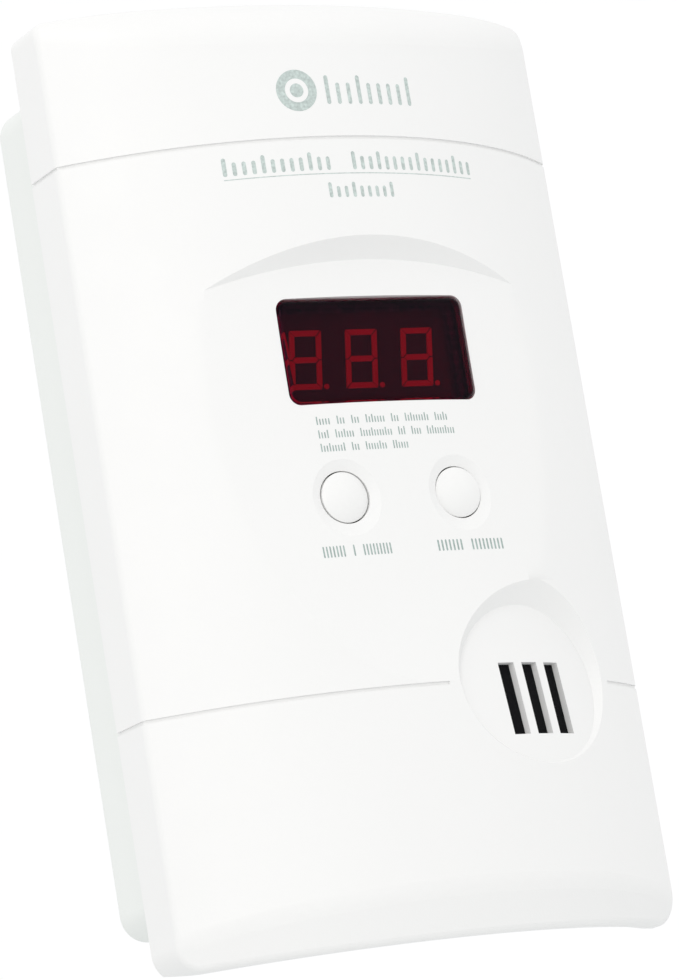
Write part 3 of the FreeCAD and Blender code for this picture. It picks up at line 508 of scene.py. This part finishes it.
def note_print(place, colour):
    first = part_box("display_lens")[0][2] - NOTE_GAP * MM
    lines = []
    for number, (right, groups) in enumerate(NOTE_LINES):
        lines += stroke_row(NOTE_LEFT * MM, right * MM, first - number * NOTE_PITCH * MM, NOTE_HEIGHT * MM,
                            groups)
    printed("note_print", lines, place, colour)


def button_label_prints(place, colour):
    for name, groups, width in BUTTON_LABELS:
        low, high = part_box(name + "_button")
        middle = (low[0] + high[0]) / 2
        level = (low[2] + high[2]) / 2 - BUTTON_LABEL_DROP * MM
        half = width * MM / 2
        label = stroke_row(middle - half, middle + half, level, BUTTON_LABEL_HEIGHT * MM, groups, even=True)
        printed(name + "_label_print", label, place, colour)


def cover_prints(pale, dark):
    place = surface_of("front_cover", -1)
    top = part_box("front_cover")[1][2]
    title_print(place, top, pale)
    badge_print(place, top, pale)
    note_print(place, dark)
    button_label_prints(place, dark)


def rating_rows(low, high):
    rows = []
    for number in range(RATING_ROWS):
        right = high[0] - (RATING_MARGIN + RATING_STEP * (number % 3)) * MM
        level = high[2] - (RATING_MARGIN + RATING_PITCH * number) * MM
        rows += stroke_row(low[0] + RATING_LEFT * MM, right, level, RATING_HEIGHT * MM,
                           LABEL_GROUPS[number % len(LABEL_GROUPS)])
    return rows


def rating_box(low, high):
    """Ruled square with a few upright bars in it."""
    middle = low[0] + RATING_BOX_X * MM
    height = (low[2] + high[2]) / 2
    side = RATING_BOX_SIDE * MM
    line = RATING_BOX_LINE * MM
    box = [pill(middle, height + end * side / 2, side, line) for end in (-1, 1)]
    box += [pill(middle + end * side / 2, height, line, side - 2 * line) for end in (-1, 1)]
    for column in range(RATING_BARS):
        x = middle + (column - (RATING_BARS - 1) / 2) * RATING_BAR_PITCH * MM
        width = (RATING_BAR_WIDTH + RATING_BAR_STEP * (column % 3)) * MM
        box.append(pill(x, height, width, side * RATING_BAR_HEIGHT))
    return box


def label_prints(colour):
    """Prints on the rating label, turned to be read from behind."""
    place = surface_of("rating_label", 1)
    low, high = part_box("rating_label")
    centre = (low[0] + high[0]) / 2
    printed("rating_print", mirrored(rating_rows(low, high), centre), place, colour)
    printed("rating_box_print", mirrored(rating_box(low, high), centre), place, colour)


# ---------------------------------------------------------------- studio

def area_light(name, location, size, power, colour=(1.0, 1.0, 1.0)):
    """Round lamp that shines on the middle of the alarm."""
    data = bpy.data.lights.new(name, "AREA")
    data.shape = "DISK"
    data.size = size
    data.energy = power
    data.color = colour
    lamp = bpy.data.objects.new(name, data)
    bpy.context.scene.collection.objects.link(lamp)
    lamp.location = location
    aim = Vector((0, -0.02, 0)) - lamp.location
    lamp.rotation_euler = aim.to_track_quat("-Z", "Y").to_euler()


def studio():
    world = bpy.data.worlds.new("studio")
    world.use_nodes = True
    background = world.node_tree.nodes["Background"]
    background.inputs["Color"].default_value = (0.994, 0.997, 1.0, 1.0)
    background.inputs["Strength"].default_value = 1.01
    bpy.context.scene.world = world
    bpy.context.scene.view_settings.view_transform = "Standard"
    area_light("key", (-0.9, -1.3, 0.45), 0.9, 3.0, (1.0, 0.94, 0.88))
    area_light("spark", (-0.55, -0.8, 0.95), 0.10, 1.2)
    bpy.ops.mesh.primitive_plane_add(size=FLOOR_SIZE, location=(0, 0, FLOOR_LEVEL))
    floor = bpy.context.object
    floor.name = "floor"
    floor.data.materials.append(plastic("floor_pale", (0.83, 0.84, 0.84), spread=0.002, roughness=0.7,
                                        grain=FLOOR_GRAIN_SCALE, strength=0.02))


def camera():
    data = bpy.data.cameras.new("camera")
    data.lens = CAMERA_LENS
    data.sensor_width = CAMERA_SENSOR
    data.clip_start = CAMERA_NEAR
    lens = bpy.data.objects.new("camera", data)
    bpy.context.scene.collection.objects.link(lens)
    azimuth = math.radians(CAMERA_AZIMUTH)
    elevation = math.radians(CAMERA_ELEVATION)
    away = Vector((math.sin(azimuth) * math.cos(elevation), -math.cos(azimuth) * math.cos(elevation),
                   math.sin(elevation)))
    right = (-away).cross(Vector((0, 0, 1))).normalized()
    up = right.cross(-away)
    roll = math.radians(CAMERA_ROLL)
    side = right * math.cos(roll) + up * math.sin(roll)
    top = up * math.cos(roll) - right * math.sin(roll)
    turn = Matrix((side, top, away)).transposed()
    lens.matrix_world = Matrix.Translation(CAMERA_TARGET + away * CAMERA_DISTANCE) @ turn.to_4x4()
    bpy.context.scene.camera = lens


paint_casing()
paint_display()
paint_inside()
cover_prints(ink("print_pale", (0.48, 0.55, 0.53)), ink("print_grey", (0.33, 0.41, 0.39)))
label_prints(ink("print_dark", (0.05, 0.06, 0.06)))
studio()
camera()
